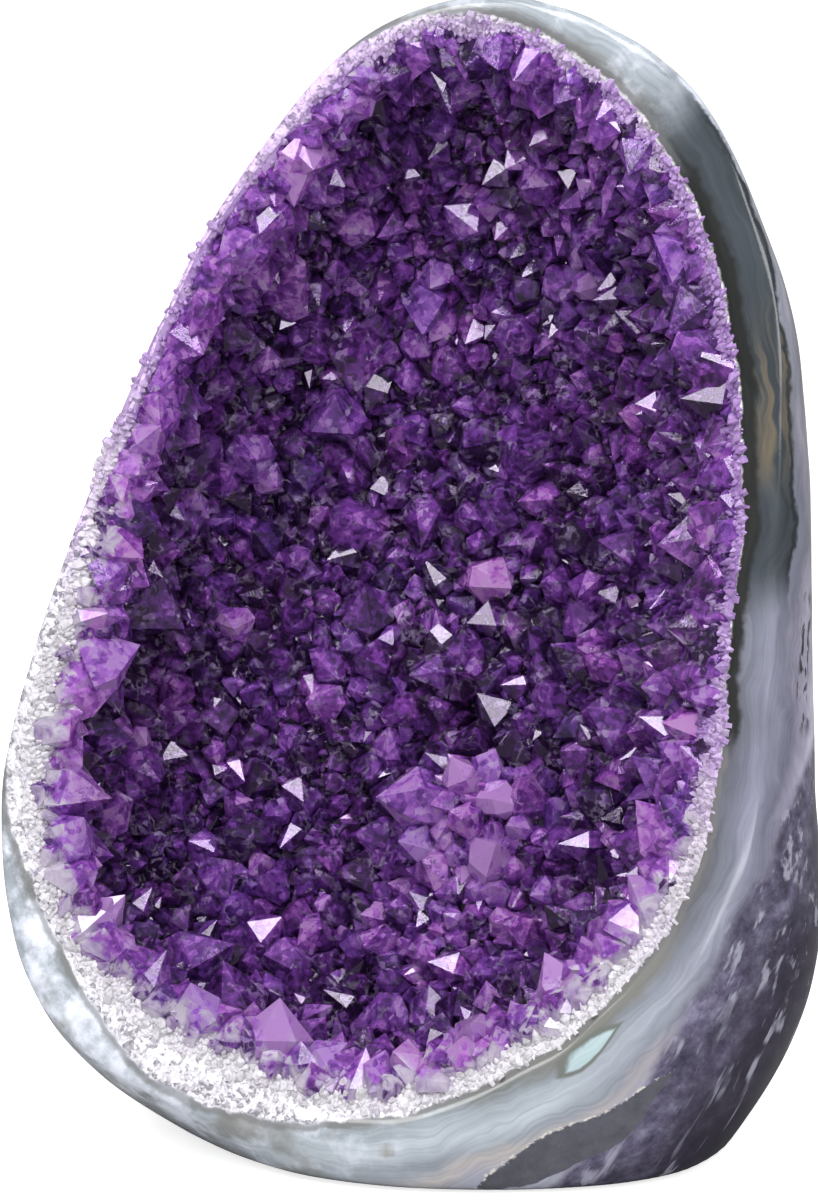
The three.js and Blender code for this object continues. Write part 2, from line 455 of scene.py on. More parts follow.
def cut_edge(angle, share):
    """Points across the cut edge of the quartz: share 0 at the stone and 1 where the wall starts."""
    angle, share = np.broadcast_arrays(angle, share)
    way = way_round(angle, math.pi / 2)
    outer = way * (to_stone(way) + IN_STONE)[..., None]
    way = way_round(angle, lip_steepness(angle))
    inner = way * to_crystals(way)[..., None]
    points = outer + (inner - outer) * share[..., None]
    points[..., 2] = inner[..., 2] * share**2.5 - CUT_SET_BACK * np.sin(math.pi * share**0.7)
    return points


bed_around = np.linspace(0, 2 * math.pi, BED_AROUND, endpoint=False)[None, :]
behind_ways = way_round(bed_around, np.linspace(0.03, math.pi / 2, BED_OUTSIDE)[:-1, None])
behind = behind_ways * (to_stone(behind_ways) + IN_STONE)[..., None]
across = cut_edge(bed_around, np.linspace(0, 1, BED_ACROSS)[:, None])
front_share = np.linspace(0.99, 0.02, BED_INSIDE)[:, None]
front_ways = way_round(bed_around, lip_steepness(bed_around) * front_share)
front = front_ways * to_crystals(front_ways)[..., None]
bed_rings = from_face(np.concatenate([behind, across, front]))
bed_rings[: len(behind)] = kept_inside(bed_rings[: len(behind)], BED_LEVEL)
bare_bed = closed_grid("bare_bed", bed_rings + SHIFT)
print("quartz bed:", len(bare_bed.data.polygons), "faces")

# %% [markdown]
# ## Where the crystals grow
#
# Crystals crowd each other out: big ones claim their room first and small ones fill what is left.
# Throwing darts does just that. The wall is covered in candidate places, and each size in turn, from
# the largest down, takes a place only where enough room is left.

# %% Feet of the crystals
WALL_PLACES = 30000
WALL_SIZES = [(4.6, 22), (3.7, 80), (3.0, 190), (2.4, 400), (1.8, 760), (1.25, 1000), (0.85, 1100),
              (0.6, 500)]
CROWDING = 0.62


def spiral_ways(count):
    """Evenly spread ways over the half turn behind the face."""
    index = np.arange(count)
    back = (index + 0.5) / count
    return way_round(index * math.pi * (3 - math.sqrt(5)), np.arccos(back))


def throw_darts(points, sizes, crowding, draw):
    """Which of the points are taken, and by what radius: largest first, none too close together."""
    room = np.full(len(points), np.inf)
    taken, radii = [], []
    for radius_mm, most in sizes:
        tries = radius_mm * MM * draw.uniform(0.86, 1.14, len(points))
        found = 0
        for index, radius in zip(draw.permutation(len(points)), tries):
            if room[index] < crowding * radius:
                continue
            gaps = np.linalg.norm(points - points[index], axis=1) - crowding * radius
            room = np.minimum(room, gaps)
            taken.append(index)
            radii.append(radius)
            found += 1
            if found == most:
                break
    return np.array(taken), np.array(radii)


draw = np.random.default_rng(11)
places = spiral_ways(WALL_PLACES)
steepness = np.arccos(-places[:, 2])
places = places[steepness < lip_steepness(toward(places)) * 0.985]
wall = places * to_crystals(places)[:, None]
taken, radii = throw_darts(wall, WALL_SIZES, CROWDING, draw)
print("crystals on the wall:", len(taken))

# %% [markdown]
# ## One crystal, many times
#
# Quartz grows as a six-sided stem with a six-sided point. Three of the six faces at the point are
# usually larger than the others, and the tip is seldom in the middle, so every crystal here gets its
# own squeezed section, shoulders and tip. All faces stay flat, because flat faces are what flash.
# Thirteen corners make one, and whole arrays of them are worked out at once.

# %% Crystals
CORNERS = 6
CORNERS_IN_ALL = 2 * CORNERS + 1
CRYSTAL_FACES = [[k, (k + 1) % CORNERS, CORNERS + (k + 1) % CORNERS, CORNERS + k] for k in range(CORNERS)]
CRYSTAL_FACES += [[CORNERS + k, CORNERS + (k + 1) % CORNERS, 2 * CORNERS] for k in range(CORNERS)]
CRYSTAL_FACES += [list(range(CORNERS - 1, -1, -1))]


def crystal_corners(radii, stems, roots, draw):
    """Corners of crystals along +Z with their feet at the origin: arrays of 13 points each."""
    count = len(radii)
    side = np.arange(CORNERS)
    squeeze = draw.uniform(0.0, 0.24, (count, 1)) * np.where(side % 2, -1, 1)
    angle = side * math.pi / 3 + squeeze
    width = radii[:, None] * draw.uniform(0.9, 1.1, (count, CORNERS))
    x, y = width * np.cos(angle), width * np.sin(angle)
    shoulder = (stems[:, None] + radii[:, None] * draw.uniform(-0.2, 0.2, (count, CORNERS)))
    tip = draw.uniform(-0.28, 0.28, (count, 2)) * radii[:, None]
    tip_height = stems + radii * draw.uniform(1.0, 1.3, count)
    root = np.broadcast_to(-roots[:, None], x.shape)
    foot_ring = np.stack([x, y, root], -1)
    shoulder_ring = np.stack([x, y, shoulder], -1)
    tips = np.concatenate([tip, tip_height[:, None]], 1)[:, None]
    return np.concatenate([foot_ring, shoulder_ring, tips], 1)


def stand_along(corners, feet, axes, draw):
    """Turns each crystal's +Z to its axis, with any twist, and puts its foot in place."""
    axes = axes / np.linalg.norm(axes, axis=1, keepdims=True)
    helper = draw.normal(size=axes.shape)
    right = np.cross(axes, helper)
    right /= np.linalg.norm(right, axis=1, keepdims=True)
    turned = np.stack([right, np.cross(axes, right), axes], 1)
    return feet[:, None] + corners @ turned


def joined_crystals(name, corners, values, extra=None):
    """Crystals, and a body that they grow on, joined in one closed surface.

    values are per-crystal numbers that the finish reads, kept on every face of each crystal. Each face
    also gets a number of its own, "facet"."""
    count = len(corners)
    points = corners.reshape(-1, 3)
    faces = [[CORNERS_IN_ALL * k + corner for corner in face] for k in range(count) for face in CRYSTAL_FACES]
    owner = np.repeat(np.arange(count), len(CRYSTAL_FACES))
    face_values = {key: value[owner] for key, value in values.items()}
    face_values["facet"] = draw.uniform(0, 1, len(owner))
    if extra is not None:
        extra_points = np.array([vertex.co for vertex in extra.data.vertices])
        extra_faces = [[len(points) + corner for corner in face.vertices] for face in extra.data.polygons]
        points, faces = np.concatenate([points, extra_points]), faces + extra_faces
        owner = np.concatenate([owner, np.full(len(extra_faces), count)])
        face_values = {key: np.concatenate([value, np.full(len(extra_faces), value.mean())])
                       for key, value in face_values.items()}
        bpy.data.objects.remove(extra)
    loose = mesh_piece(name + "_loose", points, faces, smooth=False)
    loose.data.attributes.new("crystal", "INT", "FACE").data.foreach_set("value", owner.astype(np.int32))
    for key, value in face_values.items():
        keep_numbers(loose, key, value, "FACE")
    modifier = loose.modifiers.new("join", "NODES")
    modifier.node_group = joining_nodes()
    evaluated = loose.evaluated_get(bpy.context.evaluated_depsgraph_get())
    mesh = bpy.data.meshes.new_from_object(evaluated)
    mesh.name = name
    bpy.data.objects.remove(loose)
    mesh.polygons.foreach_set("use_smooth", [False] * len(mesh.polygons))
    triangles = sum(len(face.vertices) - 2 for face in mesh.polygons)
    print(name + ":", count, "crystals,", triangles, "triangles")
    return in_scene(name, mesh)


def joining_nodes():
    """Geometry nodes that split a mesh by its 'crystal' number and join the parts as solids."""
    if "join solids" in bpy.data.node_groups:
        return bpy.data.node_groups["join solids"]
    group = bpy.data.node_groups.new("join solids", "GeometryNodeTree")
    group.interface.new_socket("Geometry", in_out="INPUT", socket_type="NodeSocketGeometry")
    group.interface.new_socket("Geometry", in_out="OUTPUT", socket_type="NodeSocketGeometry")
    start, end = group.nodes.new("NodeGroupInput"), group.nodes.new("NodeGroupOutput")
    number = group.nodes.new("GeometryNodeInputNamedAttribute")
    number.data_type = "INT"
    number.inputs["Name"].default_value = "crystal"
    split = group.nodes.new("GeometryNodeSplitToInstances")
    split.domain = "FACE"
    join = group.nodes.new("GeometryNodeMeshBoolean")
    join.operation, join.solver = "UNION", "MANIFOLD"
    group.links.new(start.outputs[0], split.inputs[0])
    group.links.new(number.outputs["Attribute"], split.inputs["Group ID"])
    group.links.new(split.outputs[0], join.inputs[1])
    group.links.new(join.outputs[0], end.inputs[0])
    return group


# %% [markdown]
# ## The amethyst points
#
# Each crystal stands square to the wall, give or take a lean, because that is the way in which it
# grew fastest. Round the lip they stand on the rolled-over edge and lean into the hollow, and there
# they are larger. A thin clear film over the quartz bed joins them all at their feet, as the real
# layer does.

# %% Amethyst points
ROOT = 1.3 * MM
LEAN = 0.33
LIP_PLACES = 9000
LIP_SIZES = [(4.3, 40), (3.3, 80), (2.3, 170), (1.5, 320), (0.95, 500)]
# Paleness of the lip crystals round the face from the right: partly their own lighter colour, partly painted
# light that makes the rim brighter than the shaded hollow behind it.
LIP_PALENESS_AND_PAINTED_LIGHT = [0.22, 0.24, 0.30, 0.38, 0.4, 0.45, 0.52, 0.58, 0.6, 0.6, 0.58, 0.6, 0.68, 0.7, 0.56, 0.28]
FILM_OVER, FILM_UNDER = 0.35 * MM, 0.5 * MM
FILM_AROUND, FILM_ALONG = 130, 45
OVER_FACE, PAST_RIM = 0.4 * MM, 0.3 * MM

ways, feet = places[taken], wall[taken]
axes = wall_facing(feet) + draw.normal(0, LEAN, feet.shape)
stems = radii * draw.uniform(0.05, 0.7, len(radii))

lip_turn = draw.uniform(0, 2 * math.pi, LIP_PLACES)
lip_share = draw.uniform(0.42 - 0.42 * window(np.degrees(lip_turn), 95, 172, 20), 1.0)
lip_feet = cut_edge(lip_turn, lip_share)
lip_taken, lip_radii = throw_darts(lip_feet, LIP_SIZES, 0.5, draw)
lip_turn, lip_share, lip_feet = lip_turn[lip_taken], lip_share[lip_taken], lip_feet[lip_taken]
lip_rise = (1.0 - 0.7 * np.maximum(lip_share - 0.5, 0) / 0.5 + draw.normal(0, 0.35, len(lip_taken)))[:, None]
lip_axes = -way_round(lip_turn, math.pi / 2) * np.cos(lip_rise) + np.array([0, 0, 1]) * np.sin(lip_rise)
lip_axes = lip_axes + draw.normal(0, 0.42, lip_axes.shape)
lip_stems = lip_radii * draw.uniform(0.0, 0.5, len(lip_radii))

film_around = np.linspace(0, 2 * math.pi, FILM_AROUND, endpoint=False)[None, :]
film_share = np.linspace(0.98, 0.02, FILM_ALONG)[:, None]
film_ways = way_round(film_around, lip_steepness(film_around) * film_share)
reach = to_crystals(film_ways)[..., None]
film_top = film_ways * (reach - FILM_OVER)
film_top[1:] += draw.normal(0, 0.22 * MM, film_top[1:].shape)
film_rings = np.concatenate([film_ways[::-1] * (reach[::-1] + FILM_UNDER), film_top])
film = closed_grid("film", from_face(film_rings) + SHIFT)


def grown(name, radii, stems, feet, axes, paleness, body=None):
    """Crystals of given sizes on given feet, none standing out past the sawn face or the ground rim."""
    corners = crystal_corners(radii, stems, np.full(len(radii), ROOT), draw)
    corners = stand_along(corners, feet, axes, draw)
    corners[..., 2] -= np.maximum(corners[..., 2].max(1) - OVER_FACE, 0)[:, None]
    edge = to_stone(way_round(toward(corners), math.pi / 2))
    past = np.maximum((np.linalg.norm(corners[..., :2], axis=-1) - edge).max(1) - PAST_RIM, 0)
    corners -= way_round(toward(corners.mean(1)), math.pi / 2)[:, None] * past[:, None, None]
    values = {"paleness": np.clip(paleness, 0, 1), "hue": draw.normal(0.5, 0.2, len(radii))}
    return joined_crystals(name, kept_inside(from_face(corners)) + SHIFT, values, body)


paleness = 0.21 + 0.46 * lump_share(ways) ** 0.5 + draw.normal(0, 0.19, len(ways))
paleness += 0.14 * np.clip(feet[:, 1] / (30 * MM) - 1, 0, 1)
wall_points = grown("amethyst_points", radii, stems, feet, axes, paleness, film)
# The lip crystals' paleness is partly painted light on the rim.
paleness = round_the_face(lip_turn, LIP_PALENESS_AND_PAINTED_LIGHT) + draw.normal(0, 0.2, len(lip_turn))
lip_points = grown("lip_points", lip_radii, lip_stems, lip_feet, lip_axes, paleness)

# %% [markdown]
# ## White roots, purple tips
#
# The colour is laid down with the crystals: white quartz first, against the stone, and then more and
# more purple. Three numbers on each point are enough to paint it: how white the quartz is there, how
# high the point stands over the bed, which also sets the shade painted into the gaps between the
# crystals, and how near it is to the one rusty stain.

# %% Colour zones
WHITE_SIDES = [0.5, 0.45, 0.45, 0.55, 0.6, 0.55, 0.5, 0.75, 1, 1, 1, 1, 1, 1, 0.95, 0.65]
STAIN = np.array([-42, -24, -7]) * MM
STAIN_SIZE = np.array([3, 5, 6]) * MM


def mark_zones(piece, least_height=-1):
    """Keeps the three numbers on a piece."""
    in_face = points_in_face(piece)
    length = np.linalg.norm(in_face, axis=1)
    way = in_face / length[:, None]
    way[:, 2] = np.minimum(way[:, 2], -1e-4)
    way /= np.linalg.norm(way, axis=1, keepdims=True)
    from_stone = (to_stone(way) - length) / (quartz_thickness(way) + 1.5 * MM)
    below_face = -in_face[:, 2] / (9 * MM)
    whiteness = np.clip(1.35 - from_stone, 0, 1) * np.clip(1.3 - below_face, 0, 1)
    keep_numbers(piece, "whiteness", whiteness * round_the_face(toward(way), WHITE_SIDES))
    keep_numbers(piece, "height", np.clip((to_crystals(way) - length) / MM, least_height, 9))
    stain = np.linalg.norm((in_face - STAIN) / STAIN_SIZE, axis=1)
    keep_numbers(piece, "stain", np.clip(1.4 - stain, 0, 1))


mark_zones(wall_points)
mark_zones(lip_points, 4)

# %% [markdown]
# ## Sugary quartz
#
# The cut edge of the bed isn't smooth. It is a crust of crystals a millimetre across and less, broken
# at all angles, which is why the rim sparkles like sugar. They are the same shape as the big ones,
# thrown over the edge and joined with the bed. Beside the stone they are ground nearly flush, and
# toward the hollow they stand up.

# %% Sugar quartz
SUGAR_PLACES = 30000
SUGAR_SIZES = [(0.85, 200), (0.62, 900), (0.46, 1700), (0.34, 1400)]

sugar_turn = draw.uniform(0, 2 * math.pi, SUGAR_PLACES)
sugar_share = draw.uniform(0.03, 0.85, SUGAR_PLACES)
sugar_feet = cut_edge(sugar_turn, sugar_share)
kept = draw.uniform(0, 1, SUGAR_PLACES) > 0.93 * window(np.degrees(sugar_turn), 98, 160, 24)
sugar_feet, sugar_share = sugar_feet[kept], sugar_share[kept]
sugar_taken, sugar_radii = throw_darts(sugar_feet, SUGAR_SIZES, 0.62, draw)
sugar_feet, sugar_share = sugar_feet[sugar_taken], sugar_share[sugar_taken]
sugar_turn = toward(sugar_feet)
sugar_axes = draw.normal(0, 0.4, sugar_feet.shape) + np.array([0, 0, 0.75])
sugar_axes -= way_round(sugar_turn, math.pi / 2)
sugar_stems = sugar_radii * (draw.uniform(-1.0, 0.2, len(sugar_radii)) + 1.1 * sugar_share)
sugar_corners = crystal_corners(sugar_radii, sugar_stems, np.maximum(sugar_radii, 0.9 * MM), draw)
sugar_corners = stand_along(sugar_corners, sugar_feet, sugar_axes, draw)
tone = draw.uniform(0, 1, len(sugar_radii))
bed = joined_crystals("quartz_bed", from_face(sugar_corners) + SHIFT, {"tone": tone}, bare_bed)
mark_zones(bed)

# %% [markdown]
# ## Building materials from nodes
#
# Every finish here is a small web of shader nodes. One helper adds a node, one fills its sockets, and
# the rest are short names for the sums, mixes and noises that turn up everywhere. A group is an effect
# that several finishes share.

# %% Node helpers
def fill(node, inputs):
    """Gives a node's sockets their values or links."""
    for key, value in inputs.items():
        if isinstance(value, bpy.types.NodeSocket):
            node.id_data.links.new(value, node.inputs[key])
        else:
            node.inputs[key].default_value = value
    return node


def add(tree, kind, inputs=None, **settings):
    """A new node: inputs are values or links for its sockets, settings its own properties."""
    made = tree.nodes.new("ShaderNode" + kind)
    for key, value in settings.items():
        setattr(made, key, value)
    return fill(made, inputs or {})


def tree_of(*values):
    """The web that the first link among some values belongs to."""
    return next(value.id_data for value in values if isinstance(value, bpy.types.NodeSocket))


def whole_colour(value):
    """A colour with its alpha, from a grey or from red, green and blue."""
    return (value, value, value, 1) if isinstance(value, (int, float)) else (*value, 1)


def ramp(factor, stops):
    """Colours or greys along a factor: stops are (place, value) pairs."""
    made = add(tree_of(factor), "ValToRGB", {"Fac": factor})
    points = made.color_ramp.elements
    while len(points) < len(stops):
        points.new(0.5)
    for point, (place, value) in zip(points, stops):
        point.position, point.color = place, whole_colour(value)
    return made.outputs["Color"]


def maths(operation, a, b=0.0, clamp=False):
    return add(tree_of(a, b), "Math", {0: a, 1: b}, operation=operation, use_clamp=clamp).outputs[0]


def plus(a, b, clamp=False):
    return maths("ADD", a, b, clamp)


def minus(a, b, clamp=False):
    return maths("SUBTRACT", a, b, clamp)


def times(a, b):
    return maths("MULTIPLY", a, b)


def swing(value, size):
    """A noise from 0 to 1 turned into one that swings about zero."""
    return times(minus(value, 0.5), size)


def soft_step(value, start, end):
    """0 before start and 1 past end. With end below start it falls instead."""
    limits = {"Value": value, "From Min": start, "From Max": end}
    return add(tree_of(value), "MapRange", limits, interpolation_type="SMOOTHSTEP").outputs["Result"]


def mixed(factor, a, b, blend="MIX"):
    """Two colours mixed, each a link, a grey or three numbers."""
    a, b = [value if isinstance(value, bpy.types.NodeSocket) else whole_colour(value) for value in (a, b)]
    sockets = {"Factor": factor, 6: a, 7: b}
    return add(tree_of(factor, a, b), "Mix", sockets, data_type="RGBA", blend_type=blend).outputs[2]


def stretched(vector, by):
    return add(tree_of(vector), "VectorMath", {0: vector, 1: by}, operation="MULTIPLY").outputs[0]


def shifted(vector, by):
    return add(tree_of(vector), "VectorMath", {0: vector, 1: by}, operation="ADD").outputs[0]


def noise(vector, scale, detail=2.0, roughness=0.5, output="Fac"):
    settings = {"Vector": vector, "Scale": scale, "Detail": detail, "Roughness": roughness}
    return add(tree_of(vector), "TexNoise", settings).outputs[output]


def channel(colour, number):
    return add(tree_of(colour), "SeparateColor", {"Color": colour}).outputs[number]


def value_of(tree, name):
    """A number that the mesh carries on its points or faces."""
    return add(tree, "Attribute", attribute_name=name).outputs["Fac"]


def start_group(name, inputs, outputs):
    """A node group with number inputs and outputs, and its input and output nodes."""
    group = bpy.data.node_groups.new(name, "ShaderNodeTree")
    for label, value in inputs.items():
        group.interface.new_socket(label, in_out="INPUT", socket_type="NodeSocketFloat").default_value = value
    for label in outputs:
        group.interface.new_socket(label, in_out="OUTPUT", socket_type="NodeSocketFloat")
    return group, group.nodes.new("NodeGroupInput").outputs, group.nodes.new("NodeGroupOutput")


def start_material(name):
    material = bpy.data.materials.new(name)
    material.use_nodes = True
    tree = material.node_tree
    tree.nodes.clear()
    shader = add(tree, "BsdfPrincipled")
    output = add(tree, "OutputMaterial", {"Surface": shader.outputs["BSDF"]})
    return material, tree, shader, output

# %% [markdown]
# ## Grain and frost
#
# Two effects turn up on more than one finish, so each is a group. The grain is what sugary quartz
# looks like when it is cut: a mosaic of small crystals, each catching the light its own way. The
# marks of growth are the faint steps and veils on a crystal face, too fine to model; the same group
# also gives bright specks that are painted glints.

# %% Quartz grain
def grain_group():
    """A mosaic of small crystals: a speckle from dark to light, and a height."""
    group, given, made = start_group(
        "quartz grain", {"Scale": 900.0, "Contrast": 1.0}, ("Speckle", "Height"))
    where = add(group, "TexCoord").outputs["Object"]
    place = shifted(where, stretched(noise(where, 700.0, output="Color"), (0.0012, 0.0012, 0.0012)))
    cells = add(group, "TexVoronoi", {"Vector": place, "Scale": given["Scale"]})
    small = add(group, "TexVoronoi", {"Vector": place, "Scale": times(given["Scale"], 2.6)})
    tone, small_tone = channel(cells.outputs["Color"], 0), channel(small.outputs["Color"], 1)
    mix = plus(times(tone, 0.6), times(small_tone, 0.4))
    spread = times(minus(mix, 0.5), given["Contrast"])
    fill(made, {"Speckle": plus(spread, 0.5, clamp=True), "Height": plus(tone, small_tone)})
    return group


quartz_grain = grain_group()
print("group:", quartz_grain.name)

# %% Growth marks and painted glints
def growth_and_glint_group():
    """Veils and healed cracks inside crystals, the fine steps on their faces, and bright specks that are
    painted glints.
    """
    group, given, made = start_group(
        "growth marks and painted glints", {"Veil Scale": 260.0, "Step Scale": 1800.0, "Crack Scale": 420.0},
        ("Veil", "Steps", "Cracks", "Patches", "Painted Glints"))
    where = add(group, "TexCoord").outputs["Object"]

    def rise(value, start, end):
        return add(group, "MapRange", {"Value": value, "From Min": start, "From Max": end}).outputs["Result"]

    veil = add(group, "TexNoise", {"Vector": where, "Scale": given["Veil Scale"], "Detail": 5.0,
                                   "Roughness": 0.62, "Distortion": 0.6}).outputs["Fac"]
    place = shifted(where, stretched(noise(where, 500.0, output="Color"), (0.003, 0.003, 0.003)))
    cells = add(group, "TexVoronoi", {"Vector": place, "Scale": given["Crack Scale"]},
                feature="DISTANCE_TO_EDGE")
    mirrors = add(group, "TexVoronoi", {"Vector": where, "Scale": times(given["Crack Scale"], 3.0)})
    patches = channel(mirrors.outputs["Color"], 0)
    here = rise(noise(where, 340.0), 0.48, 0.66)
    fill(made, {
        "Veil": veil,
        "Steps": noise(where, given["Step Scale"], 3.0, 0.6),
        "Cracks": times(rise(cells.outputs["Distance"], 0.07, 0.0), here),
        "Patches": patches,
        # Painted glints: pale specks laid into the colour where a facet would flash.
        "Painted Glints": times(rise(patches, 0.78, 0.92), here),
    })
    return group


growth_marks_and_glints = growth_and_glint_group()
print("group:", growth_marks_and_glints.name)

# %% [markdown]
# ## Banded agate and basalt
#
# The ground rim is a section through everything that lies behind the crystals. From the hollow
# outwards: a fringe of grainy quartz, a greenish black seam on the right, teal and pale blue-grey
# agate with flowing bands, and at last the purple-grey basalt that the bubble formed in, scratched
# and mottled. Each is a function that lays one more layer over the colour so far. A slow noise bends
# the depth so that the bands flow, and a noise drawn out along them makes their fine lines.

# %% Where the layers lie
def stone_places(tree):
    """What every layer of the stone asks for: place, depth and fine lines."""
    at = SimpleNamespace(kept=lambda name: value_of(tree, name))
    at.where = add(tree, "TexCoord").outputs["Object"]
    at.frayed = plus(at.kept("depth"), swing(noise(at.where, 420.0, 3.0), 1.6))
    at.depth = plus(at.frayed, swing(noise(at.where, 70.0), 5.0))
    banding = add(tree, "Attribute", attribute_name="banding").outputs["Vector"]
    at.along = shifted(banding, stretched(noise(at.where, 110.0, output="Color"), (0.0, 0.0, 5.0)))
    at.lines = noise(stretched(at.along, (0.035, 0.035, 0.62)), 1.0, 5.0, 0.62)
    at.hairlines = noise(stretched(at.along, (0.02, 0.02, 2.6)), 1.0, 3.0, 0.55)
    at.mottle = noise(at.where, 330.0, 6.0, 0.7)
    return at

# %% Agate bands
AGATE_REACH = 26.0


def agate_bands(at):
    """Agate from the hollow outwards, cloudy and murky on the left."""
    share = maths("DIVIDE", at.depth, AGATE_REACH)
    pale = ramp(share, [
        (0.0, (0.12, 0.12, 0.11)), (0.05, (0.17, 0.18, 0.18)), (0.12, (0.26, 0.29, 0.32)),
        (0.24, (0.38, 0.42, 0.46)), (0.33, (0.30, 0.33, 0.37)), (0.39, (0.42, 0.39, 0.38)),
        (0.46, (0.33, 0.34, 0.41)), (1.0, (0.30, 0.31, 0.36))])
    greyer = ramp(share, [
        (0.0, (0.075, 0.07, 0.08)), (0.06, (0.085, 0.085, 0.11)), (0.16, (0.11, 0.11, 0.155)),
        (0.26, (0.155, 0.15, 0.22)), (0.32, (0.11, 0.105, 0.16)), (0.40, (0.25, 0.235, 0.34)),
        (0.5, (0.54, 0.51, 0.65)), (1.0, (0.54, 0.51, 0.65))])
    agate = mixed(at.kept("agate_paleness"), greyer, pale)
    line_tone = ramp(at.lines, [(0.25, (0.60, 0.62, 0.66)), (0.48, 1.0), (0.72, (1.42, 1.42, 1.40))])
    agate = mixed(0.55, agate, line_tone, "MULTIPLY")
    agate = mixed(0.6, agate, ramp(at.hairlines, [(0.3, 0.80), (0.5, 1.0), (0.66, 1.16)]), "MULTIPLY")
    puffs = soft_step(noise(at.where, 130.0, 5.0, 0.6), 0.46, 0.64)
    agate = mixed(times(puffs, at.kept("cloudy_side")), agate, (0.66, 0.69, 0.78))
    murk = soft_step(noise(at.where, 80.0, 4.0, 0.6), 0.52, 0.38)
    return mixed(times(times(murk, at.kept("murky_side")), 0.8), agate, (0.19, 0.19, 0.175))


def teal_corner(at, colour):
    """The upper right: teal and brown beside the black seam, closed off by a dark hairline."""
    teal = mixed(at.lines, (0.009, 0.014, 0.017), (0.072, 0.083, 0.098))
    teal = mixed(times(at.kept("brown_side"), soft_step(at.lines, 0.35, 0.6)), teal, (0.12, 0.10, 0.07))
    edge = minus(at.frayed, 7.0)
    teal = mixed(soft_step(maths("ABSOLUTE", edge), 0.5, 0.1), teal, (0.02, 0.025, 0.03))
    return mixed(times(at.kept("teal_side"), soft_step(edge, 0.8, 0.2)), colour, teal)


def olive_and_eye(at, colour):
    """Olive murk and the pale leaf-shaped eye at the lower right."""
    murky = times(times(at.kept("olive_side"), soft_step(at.depth, 3.8, 1.6)), 0.85)
    colour = mixed(murky, colour, mixed(at.lines, (0.10, 0.10, 0.09), (0.22, 0.22, 0.20)))
    eye = plus(at.kept("pale_lens"), swing(noise(at.where, 300.0), 0.35))
    colour = mixed(soft_step(eye, 1.25, 1.0), colour, (0.13, 0.14, 0.13))
    heart = mixed(at.hairlines, (0.26, 0.36, 0.39), (0.44, 0.53, 0.55))
    return mixed(soft_step(eye, 0.90, 0.68), colour, heart)


def black_seam(at, colour):
    """The greenish black seam on the right, next to the crystals."""
    seam = times(soft_step(minus(at.kept("dark_edge"), at.frayed), -0.5, 0.5), at.kept("dark_side"))
    return mixed(seam, colour, mixed(at.lines, (0.004, 0.005, 0.005), 0.030))

# %% Basalt
SCRATCH_WAYS = ((11, 3, 19), (480, -60, -275), (70, 420, 0))


def basalt_rock(at, over, scratches):
    """Basalt, mottled and smeared, darker away from the agate, with pale scratches."""
    basalt = ramp(at.mottle, [
        (0.3, (0.03, 0.025, 0.05)), (0.5, (0.085, 0.075, 0.125)), (0.7, (0.17, 0.16, 0.23))])
    smears = noise(stretched(at.along, (0.05, 0.05, 0.35)), 1.0, 5.0, 0.65)
    basalt = mixed(0.85, basalt, ramp(smears, [(0.3, 0.45), (0.5, 1.0), (0.7, 1.9)]), "MULTIPLY")
    basalt = mixed(times(soft_step(over, 4.0, 11.0), 0.85), basalt, (0.012, 0.008, 0.02))
    return mixed(times(scratches, 0.6), basalt, (0.42, 0.42, 0.52))


def steep_scratches(tree, at):
    """Scratches that all run the same steep way: noise squeezed across it and drawn out along it."""
    steep = [add(tree, "VectorMath", {0: at.where, 1: way}, operation="DOT_PRODUCT").outputs["Value"]
             for way in SCRATCH_WAYS]
    run = add(tree, "CombineXYZ", dict(enumerate(steep))).outputs[0]
    patchy = soft_step(noise(at.where, 130.0), 0.40, 0.52)
    return times(soft_step(noise(run, 1.0, 3.0, 0.6), 0.55, 0.66), patchy)


def dark_island(at, colour):
    """A dark island in the lower agate, with a sparkling shore."""
    island = plus(at.kept("dark_lens"), swing(noise(at.where, 240.0, 3.0), 0.45))
    rock = mixed(at.mottle, (0.035, 0.035, 0.05), (0.15, 0.15, 0.18))
    colour = mixed(soft_step(island, 1.0, 0.94), colour, rock)
    shore = soft_step(maths("ABSOLUTE", minus(island, 1.0)), 0.12, 0.03)
    glitter = times(soft_step(noise(at.where, 1500.0), 0.5, 0.6), at.kept("lens_side"))
    return mixed(times(shore, glitter), colour, (0.62, 0.60, 0.56))


def dashes_and_rust(at, colour):
    """Black dashes on the right and a rusty spot below."""
    dashes = soft_step(noise(stretched(at.along, (0.25, 0.25, 1.6)), 1.0), 0.5, 0.58)
    colour = mixed(times(dashes, at.kept("inclusions")), colour, (0.015, 0.015, 0.02))
    return mixed(times(soft_step(at.kept("rusty_spot"), 1.2, 0.5), 0.7), colour, (0.17, 0.14, 0.09))

